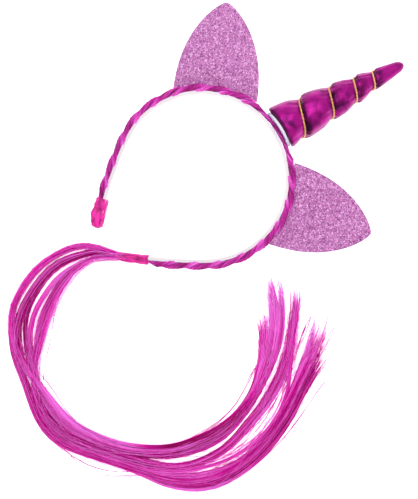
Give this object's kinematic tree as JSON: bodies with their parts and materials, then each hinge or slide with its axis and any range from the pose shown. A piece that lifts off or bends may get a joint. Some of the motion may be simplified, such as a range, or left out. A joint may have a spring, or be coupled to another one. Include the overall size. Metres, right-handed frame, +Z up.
{
  "type": "unicorn horn headband",
  "caption": "C-shaped headband wrapped in a hair twist, with flat glitter ears, a stuffed spiral horn on a felt disc and a long clip-style tail of hair, lying on its side",
  "frame": {"origin": "centre of the bounding box in X and Y, on the table in Z", "axes": "+Z up from the table, +Y along the horn from the crown to its tip, +X from the plain end's side to the tail's side"},
  "size_m": [0.2766, 0.3396, 0.0299],
  "materials": {
    "hoop_plastic": "satin, pale",
    "hair": "shiny synthetic fibre",
    "felt": "matt felt",
    "horn_fabric": "metallic stretch fabric",
    "gold_cord": "twisted metallic thread",
    "end_wrap": "satin ribbon",
    "ear_glitter": "glitter sheet"
  },
  "bodies": {
    "root": {"hoop": "hoop_plastic", "hair_strand_a": "hair", "hair_strand_b": "hair", "hair_tail": "hair", "horn_base_felt": "felt", "horn": "horn_fabric", "gold_cord": "gold_cord", "plain_end_wrap": "end_wrap", "tail_wrap": "end_wrap", "ear_left": "ear_glitter", "ear_right": "ear_glitter"}
  },
  "joints": []
}
